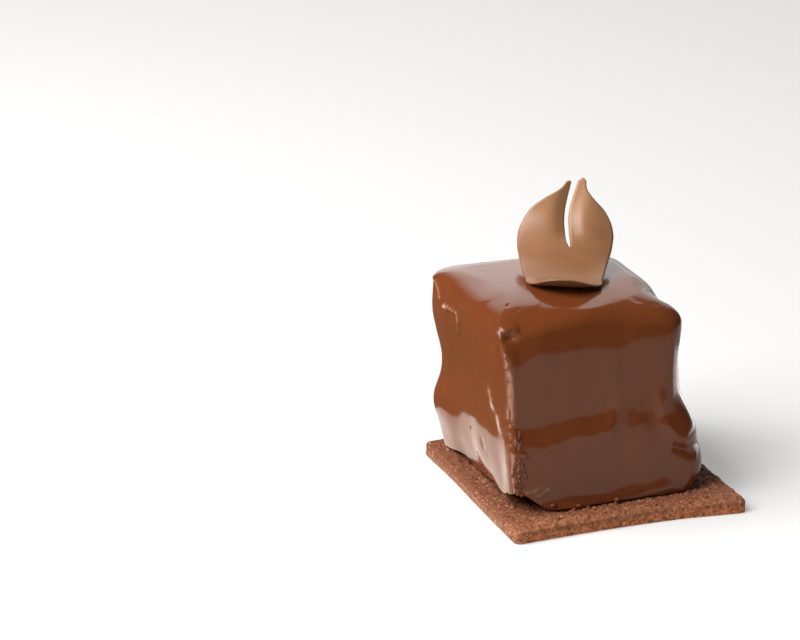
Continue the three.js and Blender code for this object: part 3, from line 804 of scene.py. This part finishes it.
# Petal: a milk chocolate leaf, spread thin, slit at its back end and set in a gutter, which bent it along its
# length like a scoop. Its belly rests on the glaze, and its round lip and its two tips stand up.
petal_thickness = 1.2
petal_contact = np.array([-5.2, 1.9])
petal_turn = np.radians(-22)
petal_roll = np.arctan(top_fall)
petal_lip = -9.0
petal_arch = 0.01
petal_arch_span = (4.0, 18.0)
petal_tips = {-1: 37.6, 1: 38.5}
tip_rounds = {-1: 0.4, 1: 1.0}
lip_rounds = {-1: (8.0, 3.0), 1: (8.0, 1.6)}
slit_end = 17.4
slit_half_width = 0.4
slit_spread = 0.45
lobe_folds = {-1: (-1.6, 0.0, 2.8, 2.8), 1: (1.3, 5.4, 3.4, 6.0)}
fold_full = 24.0
lip_share = 0.4
lip_taper = 5.0
contact_gap = 0.3
spine_steps = 600
petal_along = np.array([-9.4, -5, 0, 5, 10, 15, 20, 24, 27, 30, 32.5, 35, 39])
petal_slope = np.array([-37.0, -30, 0, 9, 15.5, 22, 30, 40, 50, 60, 66, 70, 75])
petal_left = np.array([-9.6, -9.8, -10.3, -11.2, -11.8, -12.4, -12.9, -12.6, -11.4, -9.4, -6.2, -2.2, 0.8])
petal_slit = np.array([0.2, 0.4, 0.7, 1.0, 1.3, 1.5, 0.8, 0.4, 0.2, 0.4, 0.9, 1.5, 2.5])
petal_right = np.array([9.2, 9.4, 9.6, 10.3, 11.0, 11.9, 12.8, 13.0, 12.2, 10.3, 7.7, 5.7, 5.2])


def eased(count):
    """Steps from 0 to 1 that crowd towards both ends."""
    return (1 - np.cos(np.linspace(0, np.pi, count))) / 2


def petal_half(side, face, low_rows, high_rows, columns):
    """One face of the petal on one side of the slit, on a grid of its length by its width. The middle line
    follows the slope from where the petal rests, the sides drop with the square of their offset, a rounded
    fold runs along the slit, and the thickness thins to the lip and closes round every edge like a circle."""
    across = eased(columns)[None, :]
    lip_depth, lip_power = lip_rounds[side]
    lip = petal_lip + lip_depth * across**lip_power
    tip = petal_tips[side] - tip_rounds[side] * (2 * across - 1) ** 2
    low = lip + (slit_end - lip) * eased(low_rows)[:, None]
    high = slit_end + (tip - slit_end) * eased(high_rows)[1:, None]
    along = np.concatenate([low, high])
    past = np.maximum(along - slit_end, 0)
    upper = past / (petal_tips[1] - slit_end)
    gap = slit_half_width * (1 - np.exp(-past)) + slit_spread * upper**2
    slit = through_keys(along, petal_along, petal_slit)
    inner_edge = slit + side * gap
    outer_edge = through_keys(along, petal_along, petal_left if side < 0 else petal_right)
    offset = inner_edge + across * (outer_edge - inner_edge)

    run = np.linspace(petal_lip, max(petal_tips.values()), spine_steps)
    slope_run = np.radians(through_keys(run, petal_along, petal_slope))
    step = run[1] - run[0]
    spine_y = np.cumsum(np.cos(slope_run)) * step
    spine_z = np.cumsum(np.sin(slope_run)) * step
    spine_y = np.interp(along, run, spine_y - np.interp(0, run, spine_y))
    spine_z = np.interp(along, run, spine_z - np.interp(0, run, spine_z))
    slope = np.radians(through_keys(along, petal_along, petal_slope))

    height, fold_offset, inner_reach, outer_reach = lobe_folds[side]
    from_slit = np.abs(offset - slit)
    from_fold = from_slit - fold_offset
    fold = np.exp(-((from_fold / np.where(from_fold < 0, inner_reach, outer_reach)) ** 2))
    fold = height * smooth(along, slit_end, fold_full) * fold
    drop = petal_arch * smooth(along, *petal_arch_span) * offset**2
    to_slit = np.where(past > 0, from_slit - gap, np.hypot(along - slit_end, from_slit))
    to_edge = np.minimum(np.abs(outer_edge - offset), to_slit)
    to_edge = np.minimum(to_edge, np.minimum(along - lip, tip - along))
    half = petal_thickness / 2 * (lip_share + (1 - lip_share) * smooth(along - lip, 0, lip_taper))
    rim = np.clip(1 - np.maximum(to_edge, 0) / half, 0, 1)
    lift = fold - drop + face * half * np.sqrt(1 - rim**2)
    return np.stack([offset, spine_y - lift * np.sin(slope), spine_z + lift * np.cos(slope)], axis=-1)


def sheet_faces(rows, columns, first):
    """Quads of a grid of rows by columns whose points start at the given number."""
    row = np.arange(rows - 1)[:, None] * columns
    column = np.arange(columns - 1)[None, :]
    low = first + row + column
    return np.stack([low, low + 1, low + columns + 1, low + columns], axis=-1).reshape(-1, 4)


# Milk chocolate that set on a form has a satin skin: paler than the glaze, and softly shining along its folds.
# Its colour is painted darker at its foot and lighter towards its tips, painted shade and light for how the
# lamps fall on it.
milk_chocolate, shader, place = new_material("milk_chocolate")
bloom = add(milk_chocolate, "ShaderNodeTexNoise", {"Vector": place, "Scale": 1 / (7.0 * MM), "Detail": 4.0})
shaded_foot_colour = add(
    milk_chocolate, "ShaderNodeMix",
    {"Factor": bloom.outputs["Fac"], 6: linear("#745033"), 7: linear("#926446")}, data_type="RGBA",
)
lit_tip_colour = add(
    milk_chocolate, "ShaderNodeMix",
    {"Factor": bloom.outputs["Fac"], 6: linear("#8b6343"), 7: linear("#aa7d59")}, data_type="RGBA",
)
# Painted light: from 60 to 72 mm up, the petal turns from the darker foot colour to the lighter tip colour.
spot = add(milk_chocolate, "ShaderNodeSeparateXYZ", {"Vector": place})
tip_light_share = add(
    milk_chocolate, "ShaderNodeMapRange",
    {"Value": spot.outputs["Z"], "From Min": 60 * MM, "From Max": 72 * MM},
)
painted_light_petal_colour = add(
    milk_chocolate, "ShaderNodeMix",
    {"Factor": tip_light_share.outputs["Result"], 6: shaded_foot_colour.outputs[2], 7: lit_tip_colour.outputs[2]},
    data_type="RGBA",
)
grainy = add(milk_chocolate, "ShaderNodeTexNoise", {"Vector": place, "Scale": 1 / (0.8 * MM), "Detail": 2.0})
satin = add(
    milk_chocolate, "ShaderNodeBump",
    {"Height": grainy.outputs["Fac"], "Strength": 0.1, "Distance": 0.1 * MM},
)
for socket, value in {"Roughness": 0.33, "IOR": 1.42}.items():
    shader.inputs[socket].default_value = value
milk_chocolate.node_tree.links.new(painted_light_petal_colour.outputs[2], shader.inputs["Base Color"])
milk_chocolate.node_tree.links.new(satin.outputs["Normal"], shader.inputs["Normal"])

petal_rows = (40, 50)
petal_columns = 40
halves = [petal_half(side, face, *petal_rows, petal_columns) for side in (-1, 1) for face in (-1, 1)]
petal_grid = (sum(petal_rows) - 1, petal_columns)
petal_faces = np.concatenate([sheet_faces(*petal_grid, i * petal_grid[0] * petal_grid[1]) for i in range(4)])
glaze_height = biscuit_thickness + cake_height + top_fall_at(*petal_contact)
rest_height = glaze_height + contact_gap + petal_thickness / 2
roll = np.array([
    [np.cos(petal_roll), 0, np.sin(petal_roll)], [0, 1, 0], [-np.sin(petal_roll), 0, np.cos(petal_roll)],
])
turn = np.array([
    [np.cos(petal_turn), -np.sin(petal_turn), 0], [np.sin(petal_turn), np.cos(petal_turn), 0], [0, 0, 1],
])
petal_points = np.concatenate([half.reshape(-1, 3) for half in halves]) @ (turn @ roll).T
petal_points += np.array([*petal_contact, rest_height])
petal = mesh_piece("petal_leaf", petal_points, petal_faces, milk_chocolate)
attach(petal, "root")
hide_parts("chocolate_petal")

# Studio: a pale floor, a large soft light from the left, a bright white backdrop behind that the cake's top
# mirrors, and a dim room above and in front.
floor_mesh = bpy.data.meshes.new("floor")
floor_reach = 3.0
floor_mesh.from_pydata(
    [(-floor_reach, -floor_reach, 0), (floor_reach, -floor_reach, 0),
     (floor_reach, floor_reach, 0), (-floor_reach, floor_reach, 0)], [], [(0, 1, 2, 3)],
)
floor = bpy.data.objects.new("floor", floor_mesh)
bpy.context.scene.collection.objects.link(floor)
white_table, shader, place = new_material("white_table")
shader.inputs["Base Color"].default_value = linear("#c0bfbd")
shader.inputs["Emission Color"].default_value = linear("#ffffff")
shader.inputs["Emission Strength"].default_value = 0.28
shader.inputs["Roughness"].default_value = 0.9
shader.inputs["Specular IOR Level"].default_value = 0.0
floor_mesh.materials.append(white_table)


def soft_light(name, place, target, width, height, power):
    """A rectangular soft light at a place, turned towards a target."""
    light = bpy.data.lights.new(name, "AREA")
    light.shape = "RECTANGLE"
    light.size = width
    light.size_y = height
    light.energy = power
    lamp = bpy.data.objects.new(name, light)
    lamp.location = place
    lamp.rotation_euler = (Vector(target) - Vector(place)).to_track_quat("-Z", "Y").to_euler()
    bpy.context.scene.collection.objects.link(lamp)
    return lamp


cake_middle = (0, 0, 0.03)
key_place = (-0.66, 0.02, 0.77)
key_side = 0.8
key_power = 21.5
fill_place = (-0.55, -0.85, 0.50)
fill_side = 1.0
fill_power = 1.3
soft_light("key", key_place, cake_middle, key_side, key_side, key_power)
soft_light("fill", fill_place, cake_middle, fill_side, fill_side, fill_power)

# The backdrop is lit evenly but for its two ends, where it fades in strips.
backdrop_edges = np.array([-0.27, -0.21, -0.15, -0.09, -0.03, 0.03, 0.09, 0.50, 0.62, 0.74, 1.40])
backdrop_shares = np.array([0.08, 0.22, 0.38, 0.55, 0.72, 0.88, 1.0, 0.85, 0.7, 0.55])
backdrop_height = 1.1
backdrop_middle = 0.60
backdrop_distance = 1.2
backdrop_power = 6.44
for left, right, share in zip(backdrop_edges[:-1], backdrop_edges[1:], backdrop_shares):
    width = right - left
    place = ((left + right) / 2, backdrop_distance, backdrop_middle)
    target = (place[0], 0, backdrop_middle)
    soft_light("backdrop", place, target, width, backdrop_height, backdrop_power * share * width)


# Cards that only the glaze's reflections see. A brown one lies to the left, behind, and keeps the upper left
# wall from mirroring the white floor. A white one lies partly below it for the lower left wall, a glowing one
# in front for the front left edge, and a bright one stands to the right for the right edge.
def card(name, corners, colour, glow):
    """A flat card that shows only in reflections, matte or glowing."""
    sheet = bpy.data.meshes.new(name)
    sheet.from_pydata(corners, [], [range(len(corners))])
    board, shader, place = new_material(name)
    shader.inputs["Base Color"].default_value = linear(colour)
    shader.inputs["Roughness"].default_value = 0.9
    shader.inputs["Emission Color"].default_value = linear(colour)
    shader.inputs["Emission Strength"].default_value = glow
    sheet.materials.append(board)
    standing = bpy.data.objects.new(name, sheet)
    bpy.context.scene.collection.objects.link(standing)
    standing.visible_camera = False
    standing.visible_diffuse = False
    standing.visible_shadow = False


brown_plan = [
    (-1.2, 0.020), (-0.052, 0.020), (-0.045, 0.046), (-0.028, 0.047), (-0.028, 1.2), (-1.2, 1.2),
]
white_plan = [(-0.060, -0.020), (-0.029, -0.020), (-0.029, 0.130), (-0.060, 0.130)]
edge_plan = [(-0.17, -0.13), (-0.045, -0.13), (-0.045, -0.025), (-0.17, -0.025)]
bright_side = [(-0.045, 0.011), (0.065, 0.0), (0.065, 0.009), (-0.045, 0.018)]
brown_height = 0.0044
white_height = 0.0040
edge_height = 0.0004
bright_distance = 0.09
card("brown_card", [(x, y, brown_height) for x, y in brown_plan], "#6e4a2a", glow=0.0)
card("white_card", [(x, y, white_height) for x, y in white_plan], "#fff4e8", glow=0.5)
card("edge_card", [(x, y, edge_height) for x, y in edge_plan], "#ffdcc4", glow=8.0)
card("bright_card", [(bright_distance, y, z) for y, z in bright_side], "#ffffff", glow=3.0)
room = bpy.data.worlds.new("dim_room")
room.use_nodes = True
room.node_tree.nodes["Background"].inputs["Color"].default_value = linear("#3e3e3e")
room.node_tree.nodes["Background"].inputs["Strength"].default_value = 1.0
bpy.context.scene.world = room
bpy.context.scene.view_settings.view_transform = "Standard"

# The camera looks down on the front left edge by about 20 degrees, with the cake low and to the right.
camera_place = (-0.2628, -0.5907, 0.2811)
camera_gaze = (0.3158, 0.8850, -0.3420)
camera = bpy.data.cameras.new("camera")
camera.sensor_width = 36.0
camera.lens = 117.0
viewer = bpy.data.objects.new("camera", camera)
viewer.location = camera_place
viewer.rotation_euler = Vector(camera_gaze).to_track_quat("-Z", "Y").to_euler()
bpy.context.scene.collection.objects.link(viewer)
bpy.context.scene.camera = viewer
